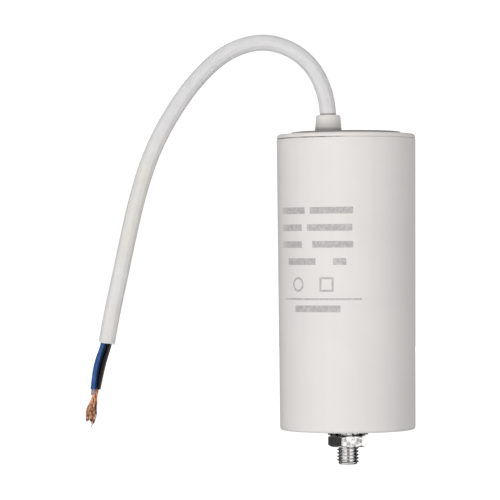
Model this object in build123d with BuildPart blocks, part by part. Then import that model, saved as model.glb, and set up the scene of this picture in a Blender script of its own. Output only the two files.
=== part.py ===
from build123d import *
import math
import os

os.makedirs("parts", exist_ok=True)

# A round plastic-cased film capacitor, in millimetres. The origin is the centre of the can's base
# face, which meets the chassis, +Z runs up the can to the lid, and the stud points down.

# Can, a drafted moulding that is narrower at its base
can_base_radius = 25.0
can_flare = 0.6
can_height = 107.2
can_wall = 1.6
can_floor = 3.0
can_base_edge = 1.0
can_inside_edge = 1.2
seat_clearance = 1.15
seat_recess_depth = 0.3

# Stud, an M8 screw moulded into the can's floor by its hexagon head
thread_radius = 4.0
thread_pitch = 1.25
pitch_radius = thread_radius - 0.3248 * thread_pitch
stud_end_z = -12.9
stud_end_chamfer = 0.9
head_across_flats = 13.0
head_height = 5.3
head_floor_cover = 2.2
boss_cover = 4.0
boss_top_cover = 1.6
boss_draft = 1.0
rib_count = 6
rib_thickness = 1.4
rib_reach = 5.0
rib_root = 1.0
rib_top_drop = 2.0

# Fasteners under the can: a serrated lock washer, then a thin hexagon nut
washer_clearance = 0.2
washer_ring_width = 1.55
washer_thickness = 0.9
tooth_count = 11
tooth_width = 2.6
tooth_tip_radius = 7.45
tooth_root_overlap = 0.35
tooth_twist = 38.0
nut_across_flats = 13.0
nut_height = 4.4
nut_turn = 10.0
nut_thread_clearance = 0.05
nut_countersink = 0.5
hex_chamfer_angle = 30.0
hex_chamfer_share = 0.95

# Lid, with a raised centre, a skirt inside the mouth and a collar for the cable
lid_edge_setback = 0.1
lid_edge_thickness = 1.7
lid_edge_round = 1.1
seam_break = 0.25
plateau_setback = 5.3
plateau_height = 0.8
plateau_round = 0.35
skirt_clearance = 0.1
skirt_depth = 3.2
skirt_wall = 1.5
collar_x = -6.5
collar_height = 6.4
collar_foot_radius = 5.0
collar_top_radius = 4.45
collar_round = 0.8
collar_root_fillet = 0.5
collar_mouth_chamfer = 0.4
collar_stub_depth = 2.6
cable_clearance = 0.25

# Cable: a round sheath over two insulated cores of fine copper strands. Its runs are points from
# the centre of the collar's mouth: the first lies inside the can, the others outside it
cable_radius = 3.0
core_radius = 1.12
conductor_radius = 0.6
sheath_run = [
    (0.0, 0.0, -15.1), (0.0, 0.0, -6.6), (0.0, 0.2, 2.5), (-1.8, 0.5, 10.5), (-5.7, 0.9, 18.1),
    (-12.4, 1.3, 24.1), (-21.2, 1.5, 27.3), (-29.8, 1.3, 26.7), (-38.2, 0.8, 23.0),
    (-45.6, 0.0, 16.8), (-53.6, -1.2, 7.2), (-61.4, -2.6, -5.5), (-66.6, -3.7, -17.1),
    (-70.7, -4.5, -30.5), (-74.0, -4.9, -44.6), (-77.1, -4.9, -59.1), (-80.2, -4.5, -72.8),
    (-82.1, -4.0, -83.1),
]
blue_tail_offset = (-1.05, -1.0)
black_tail_offset = (0.75, 1.1)
tail_lead_in = 2.2
blue_tail_run = [(-85.5, -5.2, -90.0), (-86.6, -5.1, -95.4), (-87.1, -5.0, -100.5)]
black_tail_run = [(-83.4, -3.2, -90.4), (-84.7, -3.1, -95.8), (-85.7, -3.1, -100.6)]
strand_flare = 1.35
strand_waist = 0.85
strand_end_spread = 0.1
strand_drop = (-1.7, 0.0, -12.6)

# Capacitor element: a wound film roll on a tube, sprayed with metal at both ends
element_standoff = 5.6
element_clearance = 1.7
spray_thickness = 0.8
wrap_thickness = 0.5
mandrel_radius = 4.0
mandrel_wall = 1.2
resin_gap = 0.6

# Inner leads, from the sheath's inner end to a solder joint on each sprayed end
lead_gap = 0.16
lead_room = 9.0
lead_drop = 3.6
lead_bend_radius = 2.4
solder_radius = 3.0
solder_height = 2.2
solder_round = 1.3
top_solder_inset = 6.2
bottom_solder_offset = 7.0
bare_end_length = 3.6
joint_gap = 0.3
lead_rise = 1.0
lead_turn_drop = 0.4

# Places worked out from those sizes
can_mouth_radius = can_base_radius + can_flare
draft_slope = can_flare / can_height
head_bottom_z = seat_recess_depth + head_floor_cover
head_top_z = head_bottom_z + head_height
boss_radius = head_across_flats / math.sqrt(3) + boss_cover
boss_top_z = head_top_z + boss_top_cover
rib_height = boss_top_z - rib_top_drop - can_floor
washer_height = (
    tooth_width * math.sin(math.radians(tooth_twist))
    + washer_thickness * math.cos(math.radians(tooth_twist))
)
washer_middle_z = seat_recess_depth - washer_height / 2
nut_top_z = seat_recess_depth - washer_height
nut_bottom_z = nut_top_z - nut_height
washer_inner_radius = thread_radius + washer_clearance
washer_outer_radius = washer_inner_radius + washer_ring_width
seat_recess_radius = tooth_tip_radius + seat_clearance
lid_radius = can_mouth_radius - lid_edge_setback
lid_top_z = can_height + lid_edge_thickness
plateau_radius = lid_radius - plateau_setback
plateau_z = lid_top_z + plateau_height
collar_top_z = plateau_z + collar_height
skirt_radius = can_mouth_radius - can_wall - skirt_clearance - draft_slope * skirt_depth
collar_bore = cable_radius + cable_clearance
resin_level = can_height - skirt_depth - resin_gap
sheath_inner_z = collar_top_z + sheath_run[0][2]
element_bottom_z = boss_top_z + element_standoff
element_top_z = sheath_inner_z - lead_room
film_bottom_z = element_bottom_z + spray_thickness
film_top_z = element_top_z - spray_thickness
film_width = film_top_z - film_bottom_z
winding_radius = can_base_radius - can_wall - element_clearance - wrap_thickness
lead_spacing = 2 * core_radius + lead_gap
top_solder_x = top_solder_inset - winding_radius
bottom_solder_x = mandrel_radius + bottom_solder_offset


def can_inner_radius(height):
    """Radius of the can's cavity at a height, which follows the draft."""
    return can_base_radius + draft_slope * height - can_wall


def from_collar_mouth(run):
    """The points of a run that is given from the centre of the collar's mouth."""
    return [(collar_x + x, y, collar_top_z + z) for x, y, z in run]


def corner_radii(points):
    """Radius of the arc at each corner of a route, as large as its two runs allow."""
    ends = [Vector(*point) for point in points]
    radii = []
    for before, corner, after in zip(ends, ends[1:], ends[2:]):
        run_in = corner - before
        run_out = after - corner
        half_turn = math.radians(run_in.get_angle(run_out)) / 2
        radii.append(0.45 * min(run_in.length, run_out.length) / math.tan(half_turn))
    return radii


def round_bar(points, radii, section_radius):
    """A round bar along straight runs that tangent arcs join."""
    with BuildPart() as bar:
        with BuildLine() as path:
            FilletPolyline(*points, radius=radii)
        with BuildSketch(path.line ^ 0):
            Circle(section_radius)
        sweep()
    return bar.part


def hexagon_blank(across_flats, bottom_z, height, turn):
    """A hexagon prism whose corners are turned off at both ends."""
    corner_radius = across_flats / math.sqrt(3)
    crown_radius = hex_chamfer_share * across_flats / 2
    drop = (corner_radius - crown_radius) * math.tan(math.radians(hex_chamfer_angle))
    with BuildPart() as blank:
        with BuildSketch(Plane.XY.offset(bottom_z)):
            RegularPolygon(corner_radius, 6, rotation=turn)
        extrude(amount=height)
        with BuildSketch(Plane.XZ):
            with BuildLine():
                Polyline(
                    (0, bottom_z), (crown_radius, bottom_z), (corner_radius, bottom_z + drop),
                    (corner_radius, bottom_z + height - drop), (crown_radius, bottom_z + height),
                    (0, bottom_z + height), close=True,
                )
            make_face()
        revolve(axis=Axis.Z, mode=Mode.INTERSECT)
    return blank.part


def ring(inner_radius, outer_radius, bottom_z, height):
    """A plain ring about the can's axis."""
    with BuildPart() as band:
        with BuildSketch(Plane.XY.offset(bottom_z)):
            Circle(outer_radius)
            Circle(inner_radius, mode=Mode.SUBTRACT)
        extrude(amount=height)
    return band.part


def disc_column(column_radius, bottom_z, height):
    """A plain cylinder about the can's axis."""
    with BuildPart() as column:
        with BuildSketch(Plane.XY.offset(bottom_z)):
            Circle(column_radius)
        extrude(amount=height)
    return column.part


# Stud: the hexagon head sits in the floor. Inside the nut the thread stands as its pitch
# cylinder, and below the nut as its crest cylinder, which is the free end that fastens.
with BuildPart() as mounting_stud:
    add(hexagon_blank(head_across_flats, head_bottom_z, head_height, 0.0))
    add(disc_column(pitch_radius, nut_bottom_z, head_bottom_z - nut_bottom_z))
    add(disc_column(thread_radius, stud_end_z, nut_bottom_z - stud_end_z))
    chamfer(mounting_stud.edges().group_by(Axis.Z)[0], length=stud_end_chamfer)

# Can: one revolved wall and floor, with a ribbed boss moulded round the stud's head
with BuildPart() as can:
    with BuildSketch(Plane.XZ) as can_section:
        with BuildLine():
            Polyline(
                (0, 0), (can_base_radius, 0), (can_mouth_radius, can_height),
                (can_mouth_radius - can_wall, can_height),
                (can_inner_radius(can_floor), can_floor), (0, can_floor), close=True,
            )
        make_face()
        base_corner = can_section.vertices().group_by(Axis.Y)[0].sort_by(Axis.X)[-1]
        fillet(base_corner, radius=can_base_edge)
        mouth_corner = can_section.vertices().group_by(Axis.Y)[-1].sort_by(Axis.X)[-1]
        chamfer(mouth_corner, length=seam_break)
        inner_corner = can_section.vertices().filter_by(
            lambda v: abs(v.Y - can_floor) < 0.01 and v.X > can_base_radius / 2
        )
        fillet(inner_corner, radius=can_inside_edge)
    revolve(axis=Axis.Z)
    with BuildSketch(Plane.XY.offset(can_floor)):
        Circle(boss_radius)
    extrude(amount=boss_top_z - can_floor, taper=boss_draft)
    with Locations((0, 0, can_floor + rib_height / 2)):
        with PolarLocations(boss_radius + (rib_reach - rib_root) / 2, rib_count):
            Box(rib_reach + rib_root, rib_thickness, rib_height)
    with BuildSketch(Plane.XY):
        Circle(seat_recess_radius)
    extrude(amount=seat_recess_depth, mode=Mode.SUBTRACT)
    add(mounting_stud.part, mode=Mode.SUBTRACT)

# Lid: a disc that seats on the mouth, with a round edge, a raised centre and a skirt. The edges
# of lid and can are broken where they meet, so that a fine groove runs round the seam
with BuildPart() as lid:
    with BuildSketch(Plane.XZ) as lid_section:
        with BuildLine():
            Polyline(
                (0, can_height), (skirt_radius - skirt_wall, can_height),
                (skirt_radius - skirt_wall, can_height - skirt_depth),
                (skirt_radius, can_height - skirt_depth), (skirt_radius, can_height),
                (lid_radius, can_height), (lid_radius, lid_top_z), (plateau_radius, lid_top_z),
                (plateau_radius, plateau_z), (0, plateau_z), close=True,
            )
        make_face()
        rim_corner = lid_section.vertices().filter_by(lambda v: v.X > lid_radius - 0.01)
        fillet(rim_corner.sort_by(Axis.Y)[-1], radius=lid_edge_round)
        seam_corner = lid_section.vertices().filter_by(lambda v: v.X > lid_radius - 0.01)
        chamfer(seam_corner.sort_by(Axis.Y)[0], length=seam_break)
        step_corner = lid_section.vertices().filter_by(
            lambda v: abs(v.X - plateau_radius) < 0.01 and v.Y > plateau_z - 0.01
        )
        fillet(step_corner, radius=plateau_round)
    revolve(axis=Axis.Z)
    # The collar is turned about the cable's own axis, with a short stub under the lid
    with BuildSketch(Plane.XZ) as collar_section:
        with BuildLine():
            Polyline(
                (collar_x, can_height - collar_stub_depth),
                (collar_x + collar_top_radius, can_height - collar_stub_depth),
                (collar_x + collar_foot_radius, can_height),
                (collar_x + collar_foot_radius, plateau_z),
                (collar_x + collar_top_radius, collar_top_z), (collar_x, collar_top_z), close=True,
            )
        make_face()
        brow = collar_section.vertices().group_by(Axis.Y)[-1].sort_by(Axis.X)[-1]
        fillet(brow, radius=collar_round)
    collar_axis = Axis((collar_x, 0, 0), (0, 0, 1))
    revolve(axis=collar_axis)
    root_edge = lid.edges().filter_by(GeomType.CIRCLE).filter_by(
        lambda e: abs(e.radius - collar_foot_radius) < 0.01 and abs(e.center().Z - plateau_z) < 0.01
    )
    fillet(root_edge, radius=collar_root_fillet)
    with BuildSketch(Plane.XZ):
        with BuildLine():
            Polyline(
                (collar_x, can_height - collar_stub_depth - 1.0),
                (collar_x + collar_bore, can_height - collar_stub_depth - 1.0),
                (collar_x + collar_bore, collar_top_z - collar_mouth_chamfer),
                (collar_x + collar_bore + collar_mouth_chamfer + 0.01, collar_top_z + 0.01),
                (collar_x, collar_top_z + 0.01), close=True,
            )
        make_face()
    revolve(axis=collar_axis, mode=Mode.SUBTRACT)

# Lock washer: a flat ring whose teeth are each twisted about their own radius, so that they bite
# the can above and the nut below
with BuildPart() as lock_washer:
    add(ring(washer_inner_radius, washer_outer_radius, washer_middle_z - washer_thickness / 2,
             washer_thickness))
    tooth_root_radius = washer_outer_radius - tooth_root_overlap
    tooth_length = tooth_tip_radius - tooth_root_radius
    with Locations((0, 0, washer_middle_z)):
        with PolarLocations(tooth_root_radius + tooth_length / 2, tooth_count):
            Box(tooth_length, tooth_width, washer_thickness, rotation=(tooth_twist, 0, 0))

# Nut: a thin hexagon with both faces turned off, seated on the washer
with BuildPart() as stud_nut:
    add(hexagon_blank(nut_across_flats, nut_bottom_z, nut_height, nut_turn))
    with BuildSketch(Plane.XY.offset(nut_bottom_z)):
        Circle(pitch_radius + nut_thread_clearance)
    extrude(amount=nut_height, mode=Mode.SUBTRACT)
    top_mouth = stud_nut.edges().filter_by(GeomType.CIRCLE).filter_by(
        lambda e: e.radius < thread_radius and e.center().Z > nut_top_z - 0.01
    )
    chamfer(top_mouth, length=nut_countersink)

# Cable sheath: from inside the lid, up through the collar, over its arch and down to the cut end
sheath_route = from_collar_mouth(sheath_run)
sheath_radii = corner_radii(sheath_route)
with BuildPart() as cable_sheath:
    add(round_bar(sheath_route, sheath_radii, cable_radius))
print("sheath corner radii", [round(radius, 1) for radius in sheath_radii])

# Tails: both cores leave the sheath's cut end square to it, then run on side by side
sheath_end = Vector(*sheath_route[-1])
sheath_heading = (sheath_end - Vector(*sheath_route[-2])).normalized()
end_across = sheath_heading.cross(Vector(0, 1, 0)).normalized()
end_back = end_across.cross(sheath_heading).normalized()


def tail_points(offset, run):
    """A tail's route, which starts on the sheath's end face at an offset across and back."""
    start = sheath_end + end_across * offset[0] + end_back * offset[1]
    return [tuple(start), tuple(start + sheath_heading * tail_lead_in)] + from_collar_mouth(run)


blue_points = tail_points(blue_tail_offset, blue_tail_run)
black_points = tail_points(black_tail_offset, black_tail_run)
with BuildPart() as blue_core_tail:
    add(round_bar(blue_points, corner_radii(blue_points), core_radius))
with BuildPart() as black_core_tail:
    add(round_bar(black_points, corner_radii(black_points), core_radius))


def strand_bundle(points, spread):
    """Bare strands beyond a tail's end: narrow where they leave it, then frayed wider."""
    start = Vector(*points[-1])
    heading = (start - Vector(*points[-2])).normalized()
    end = start + Vector(*strand_drop) + Vector(spread, 0, 0)
    middle = (start + end) / 2 + heading
    with BuildPart() as bundle:
        with BuildSketch(Plane(start, z_dir=heading)):
            Circle(strand_waist)
        with BuildSketch(Plane(middle, z_dir=(end - start).normalized())):
            Circle((strand_waist + strand_flare) / 2)
        with BuildSketch(Plane(end, z_dir=(end - start).normalized())):
            Circle(strand_flare)
        loft(ruled=True)
    return bundle.part


with BuildPart() as blue_strands:
    add(strand_bundle(blue_points, -strand_end_spread))
with BuildPart() as black_strands:
    add(strand_bundle(black_points, strand_end_spread))
    add(blue_strands.part, mode=Mode.SUBTRACT)

# Capacitor element
with BuildPart() as winding_core:
    add(ring(mandrel_radius - mandrel_wall, mandrel_radius, element_bottom_z,
             element_top_z - element_bottom_z))
with BuildPart() as winding:
    add(ring(mandrel_radius, winding_radius, film_bottom_z, film_width))
with BuildPart() as winding_wrap:
    add(ring(winding_radius, winding_radius + wrap_thickness, film_bottom_z, film_width))
with BuildPart() as bottom_end_spray:
    add(ring(mandrel_radius, winding_radius, element_bottom_z, spray_thickness))
with BuildPart() as top_end_spray:
    add(ring(mandrel_radius, winding_radius, film_top_z, spray_thickness))

# Inner leads: one to the top of the element, one down through the tube to its bottom
blue_lead_start = (collar_x - lead_spacing / 2, 0, sheath_inner_z)
black_lead_start = (collar_x + lead_spacing / 2, 0, sheath_inner_z)
blue_bend = (blue_lead_start[0], 0, sheath_inner_z - lead_drop)
black_bend = (black_lead_start[0], 0, sheath_inner_z - lead_drop)
top_joint_z = element_top_z + conductor_radius + joint_gap
blue_joint = Vector(top_solder_x, 0, top_joint_z)
blue_slope = (blue_joint - Vector(*blue_bend)).normalized()
blue_lead_end = blue_joint - blue_slope * bare_end_length
element_axis_top = (0, 0, element_top_z + lead_bend_radius + lead_rise)
black_turn_z = element_bottom_z - core_radius - lead_turn_drop
black_lead_end = Vector(bottom_solder_x - bare_end_length, 0, black_turn_z)

with BuildPart() as blue_lead:
    add(round_bar([blue_lead_start, blue_bend, tuple(blue_lead_end)], lead_bend_radius,
                  core_radius))
with BuildPart() as blue_lead_end_wire:
    with BuildSketch(Plane(blue_lead_end, z_dir=blue_slope)):
        Circle(conductor_radius)
    extrude(amount=bare_end_length)
with BuildPart() as black_lead:
    add(round_bar([black_lead_start, black_bend, element_axis_top, (0, 0, black_turn_z),
                   tuple(black_lead_end)], lead_bend_radius, core_radius))
with BuildPart() as black_lead_end_wire:
    with BuildSketch(Plane(black_lead_end, z_dir=(1, 0, 0))):
        Circle(conductor_radius)
    extrude(amount=bare_end_length)


def solder_dome(centre_x, bottom_z, rounded_side):
    """A low button of solder, round over its free side and flat against the sprayed face."""
    with BuildPart() as dome:
        with BuildSketch(Plane.XY.offset(bottom_z)):
            with Locations((centre_x, 0)):
                Circle(solder_radius)
        extrude(amount=solder_height)
        free_rim = dome.edges().group_by(Axis.Z)[rounded_side]
        fillet(free_rim, radius=solder_round)
    return dome.part


with BuildPart() as top_solder:
    add(solder_dome(top_solder_x, element_top_z, -1))
    add(blue_lead_end_wire.part, mode=Mode.SUBTRACT)
with BuildPart() as bottom_solder:
    add(solder_dome(bottom_solder_x, element_bottom_z - solder_height, 0))
    add(black_lead_end_wire.part, mode=Mode.SUBTRACT)

# Potting resin: it fills the can up to its level, round everything that stands in it
with BuildPart() as potting_resin:
    with BuildSketch(Plane.XZ):
        with BuildLine():
            Polyline(
                (0, can_floor), (can_inner_radius(can_floor), can_floor),
                (can_inner_radius(resin_level), resin_level), (0, resin_level), close=True,
            )
        make_face()
    revolve(axis=Axis.Z)
    for embedded in (
        can, mounting_stud, winding_core, winding, winding_wrap, bottom_end_spray, top_end_spray, cable_sheath,
        blue_lead, black_lead, blue_lead_end_wire, black_lead_end_wire, top_solder, bottom_solder,
    ):
        add(embedded.part, mode=Mode.SUBTRACT)

can.part.label = "can"
lid.part.label = "lid"
mounting_stud.part.label = "mounting_stud"
lock_washer.part.label = "lock_washer"
stud_nut.part.label = "stud_nut"
cable_sheath.part.label = "cable_sheath"
blue_core_tail.part.label = "blue_core_tail"
black_core_tail.part.label = "black_core_tail"
blue_strands.part.label = "blue_strands"
black_strands.part.label = "black_strands"
winding_core.part.label = "winding_core"
winding.part.label = "winding"
winding_wrap.part.label = "winding_wrap"
bottom_end_spray.part.label = "bottom_end_spray"
top_end_spray.part.label = "top_end_spray"
blue_lead.part.label = "blue_lead"
black_lead.part.label = "black_lead"
blue_lead_end_wire.part.label = "blue_lead_end_wire"
black_lead_end_wire.part.label = "black_lead_end_wire"
top_solder.part.label = "top_solder"
bottom_solder.part.label = "bottom_solder"
potting_resin.part.label = "potting_resin"

export_step(can.part, "parts/can.step")
export_step(lid.part, "parts/lid.step")
export_step(mounting_stud.part, "parts/mounting_stud.step")
export_step(lock_washer.part, "parts/lock_washer.step")
export_step(stud_nut.part, "parts/stud_nut.step")
export_step(cable_sheath.part, "parts/cable_sheath.step")
export_step(blue_core_tail.part, "parts/blue_core_tail.step")
export_step(black_core_tail.part, "parts/black_core_tail.step")
export_step(blue_strands.part, "parts/blue_strands.step")
export_step(black_strands.part, "parts/black_strands.step")
export_step(winding_core.part, "parts/winding_core.step")
export_step(winding.part, "parts/winding.step")
export_step(winding_wrap.part, "parts/winding_wrap.step")
export_step(bottom_end_spray.part, "parts/bottom_end_spray.step")
export_step(top_end_spray.part, "parts/top_end_spray.step")
export_step(blue_lead.part, "parts/blue_lead.step")
export_step(black_lead.part, "parts/black_lead.step")
export_step(blue_lead_end_wire.part, "parts/blue_lead_end_wire.step")
export_step(black_lead_end_wire.part, "parts/black_lead_end_wire.step")
export_step(top_solder.part, "parts/top_solder.step")
export_step(bottom_solder.part, "parts/bottom_solder.step")
export_step(potting_resin.part, "parts/potting_resin.step")
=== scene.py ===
import logging
import math
import random
from dataclasses import dataclass, replace
from enum import Enum
from typing import Callable

import bmesh
import bpy
from bmesh.types import BMEdge, BMVert
from bpy.types import Curve, Material, Mesh, Node, NodeSocket, Object, World
from mathutils import Matrix, Vector


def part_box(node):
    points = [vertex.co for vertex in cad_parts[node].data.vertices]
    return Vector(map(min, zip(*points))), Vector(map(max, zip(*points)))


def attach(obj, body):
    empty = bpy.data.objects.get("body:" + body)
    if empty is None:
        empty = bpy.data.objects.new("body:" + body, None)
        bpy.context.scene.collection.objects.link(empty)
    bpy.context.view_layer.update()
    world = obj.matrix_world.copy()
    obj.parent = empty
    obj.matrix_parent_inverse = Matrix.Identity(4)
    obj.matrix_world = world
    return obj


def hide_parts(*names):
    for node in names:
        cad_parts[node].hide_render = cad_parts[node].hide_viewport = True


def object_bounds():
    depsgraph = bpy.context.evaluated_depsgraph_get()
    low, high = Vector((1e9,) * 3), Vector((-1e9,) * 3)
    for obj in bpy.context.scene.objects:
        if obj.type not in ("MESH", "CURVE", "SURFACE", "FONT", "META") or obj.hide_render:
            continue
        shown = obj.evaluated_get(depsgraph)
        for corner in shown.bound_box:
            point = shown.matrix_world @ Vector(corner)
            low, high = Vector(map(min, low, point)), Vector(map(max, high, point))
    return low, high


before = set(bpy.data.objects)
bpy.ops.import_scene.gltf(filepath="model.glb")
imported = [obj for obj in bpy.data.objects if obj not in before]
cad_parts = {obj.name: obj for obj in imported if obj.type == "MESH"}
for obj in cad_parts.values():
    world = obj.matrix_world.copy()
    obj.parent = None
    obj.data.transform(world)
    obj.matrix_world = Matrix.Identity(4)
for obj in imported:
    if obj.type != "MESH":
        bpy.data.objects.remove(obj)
cad_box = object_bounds()

# A round plastic-cased capacitor with a stud, a nut and a washer under it and a stripped cable
# over it. Everything is in metres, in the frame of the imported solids: +Z runs up the can's axis.

MM = 0.001
FAR = 1.0  # A place that the part doesn't reach, so what begins there is switched off
log = logging.getLogger("capacitor")

Triple = tuple[float, float, float]
Range = tuple[float, float]
Place = Callable[[float], Triple]  # Gives the place of a ring's vertex from its angle in radians


# Materials as expressions


def operator(operation: str, swapped: bool = False) -> Callable[..., "Term"]:
    """Makes a method of Term that adds one Math node.

    Args:
        operation: The Math node's operation.
        swapped: Whether the other number comes first, as in a reflected operator.

    Returns:
        The method.
    """
    if swapped:
        return lambda term, other: term.math_node(operation, other, term)
    return lambda term, *others: term.math_node(operation, term, *others)


class Term:
    """A number that varies over a surface. Python's operators on it add Math nodes."""

    __add__, __radd__ = operator("ADD"), operator("ADD", swapped=True)
    __sub__, __rsub__ = operator("SUBTRACT"), operator("SUBTRACT", swapped=True)
    __mul__, __rmul__ = operator("MULTIPLY"), operator("MULTIPLY", swapped=True)
    __truediv__, __pow__, __abs__ = operator("DIVIDE"), operator("POWER"), operator("ABSOLUTE")
    sine, largest = operator("SINE"), operator("MAXIMUM")
    # Angle of the point whose ordinate is this number and whose abscissa is the other
    angle_from = operator("ARCTAN2")

    def __init__(self, graph: "Graph", socket: NodeSocket) -> None:
        """Wraps one output socket of a graph, which gets the new nodes."""
        self.graph, self.socket = graph, socket

    def math_node(self, operation: str, *values: "Term | float") -> "Term":
        """Adds one Math node with these inputs."""
        node = self.graph.node("ShaderNodeMath", {"operation": operation}, dict(enumerate(values)))
        return Term(self.graph, node.outputs[0])

    def distance(self, other: "Term") -> "Term":
        """Distance from the origin of the point whose two coordinates these are."""
        return (self ** 2.0 + other ** 2.0) ** 0.5

    def ramp(self, start: float, end: float, low: float = 0.0, high: float = 1.0) -> "Term":
        """A smooth step.

        Args:
            start: The number at which the step begins; it may be the larger of the two.
            end: The number at which it ends.
            low: The result before the step.
            high: The result after it.

        Returns:
            A number from low to high.
        """
        node = self.graph.node(
            "ShaderNodeMapRange", {"interpolation_type": "SMOOTHSTEP"},
            {"Value": self, "From Min": start, "From Max": end, "To Min": low, "To Max": high},
        )
        return Term(self.graph, node.outputs[0])


Input = Term | NodeSocket | float | tuple


class Graph:
    """The nodes of one material, or of the room's light."""

    def __init__(self, name: str, world: World | None = None) -> None:
        """Starts with no nodes.

        Args:
            name: The new material's name.
            world: The world that the nodes are for, if they aren't for a material.
        """
        self.owner = world or bpy.data.materials.new(name)
        self.owner.use_nodes = True
        self.tree = self.owner.node_tree
        self.tree.nodes.clear()

    def node(self, kind: str, settings: dict | None = None,
             inputs: dict[str | int, Input] | None = None) -> Node:
        """Adds one node of any type.

        Args:
            kind: The node's type.
            settings: Its properties, which are set first. "stops" holds the places and greys of
                a colour ramp's stops.
            inputs: Values or links of its input sockets, by name or number.

        Returns:
            The node.
        """
        node = self.tree.nodes.new(kind)
        settings = dict(settings or {})
        stops = settings.pop("stops", [])
        for name, value in settings.items():
            setattr(node, name, value)
        for _ in stops[2:]:
            node.color_ramp.elements.new(0.5)
        for element, (position, grey) in zip(node.color_ramp.elements if stops else [], stops):
            element.position, element.color = position, (grey, grey, grey, 1.0)
        for key, value in (inputs or {}).items():
            socket = node.inputs[key]
            value = value.socket if isinstance(value, Term) else value
            if isinstance(value, NodeSocket):
                self.tree.links.new(value, socket)
            else:
                socket.default_value = (*value, 1.0) if socket.type == "RGBA" else value
        return node

    def place(self, height_scale: float = 1.0) -> NodeSocket:
        """Object coordinates in metres, with their heights multiplied by a number."""
        inputs = {"Vector": self.node("ShaderNodeTexCoord").outputs["Object"],
                  "Scale": (1.0, 1.0, height_scale)}
        return self.node("ShaderNodeMapping", {}, inputs).outputs[0]

    def axes(self, vector: NodeSocket) -> tuple[Term, ...]:
        """The three numbers of a vector."""
        split = self.node("ShaderNodeSeparateXYZ", {}, {0: vector})
        return tuple(Term(self, output) for output in split.outputs)

    def noise(self, vector: NodeSocket, scale: float, detail: float = 2.0,
              roughness: float = 0.5) -> Term:
        """Soft irregular variation from 0 to 1.

        Args:
            vector: Where it is read.
            scale: Waves per metre.
            detail: How many finer layers it has.
            roughness: How strong they are.

        Returns:
            The variation.
        """
        inputs = {"Vector": vector, "Scale": scale, "Detail": detail, "Roughness": roughness}
        return Term(self, self.node("ShaderNodeTexNoise", {}, inputs).outputs["Fac"])

    def mix(self, share: Input, first: Input, second: Input) -> NodeSocket:
        """The first colour with a share of the second, from 0 to 1, over it."""
        node = self.node("ShaderNodeMix", {"data_type": "RGBA"}, {0: share, 6: first, 7: second})
        return node.outputs[2]

    def bump(self, height: Term, depth: float, strength: float) -> NodeSocket:
        """A normal from a height, where 1 stands for the depth in metres."""
        inputs = {"Height": height, "Distance": depth, "Strength": strength}
        return self.node("ShaderNodeBump", {}, inputs).outputs[0]

    def surface(self, **inputs: Input) -> Material:
        """Ends the graph with one Principled surface.

        Args:
            inputs: The shader's sockets, with underscores for spaces.

        Returns:
            The finished material.
        """
        named = {name.replace("_", " "): value for name, value in inputs.items()}
        shader = self.node("ShaderNodeBsdfPrincipled", {}, named)
        self.node("ShaderNodeOutputMaterial", {}, {"Surface": shader.outputs[0]})
        return self.owner


# Finishes


@dataclass(frozen=True)
class MouldedPlastic:
    """White moulded plastic with a fine satin skin, and painted shade in the seam of the can and
    the lid.
    """

    name: str
    colour: Triple = (0.81, 0.785, 0.765)
    shade: Triple = (0.71, 0.69, 0.68)
    seam_shade: Triple = (0.16, 0.15, 0.14)
    roughness: float = 0.46
    skin_depth: float = 0.03 * MM
    radius: float = 25.3 * MM
    seam_z: float = 107.2 * MM
    seam_half: float = 0.26 * MM

    def material(self) -> Material:
        """Makes the material, with the detail of its kind over the plain plastic.

        Returns:
            The material.
        """
        graph = Graph(self.name)
        place = graph.place()
        x, y, z = graph.axes(place)
        arc = x.angle_from(y * -1.0) * self.radius
        cloud = graph.noise(place, 45.0, 3.0, 0.55).ramp(0.38, 0.68)
        grain = graph.noise(place, 2600.0, 2.0, 0.6)
        streaks = graph.noise(graph.place(0.04), 420.0, 3.0, 0.6).ramp(0.35, 0.7)
        colour = graph.mix(cloud * 0.18 + streaks * 0.12, self.colour, self.shade)
        # Painted shade in the seam groove between the can and the lid, strong on the left and faint
        # on the right, broken up by noise
        in_seam = abs(z - self.seam_z).ramp(self.seam_half, self.seam_half * 0.3)
        left = arc.ramp(-0.5 * self.radius, 0.1 * self.radius, 0.95, 0.12)
        patches = graph.noise(place, 260.0, 2.0).ramp(0.3, 0.6, 0.6, 1.0)
        colour = graph.mix(in_seam * left * patches, colour, self.seam_shade)
        return graph.surface(
            Base_Color=self.detail(graph, colour, arc),
            Roughness=self.roughness + grain * 0.10 - 0.05,
            Normal=graph.bump(grain + graph.noise(place, 420.0, 1.0) * 1.6, self.skin_depth, 0.35),
            IOR=1.49,
        )

    def detail(self, graph: Graph, colour: NodeSocket, arc: Term) -> NodeSocket:
        """The plain plastic, to which each kind adds its own detail."""
        return colour


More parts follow.
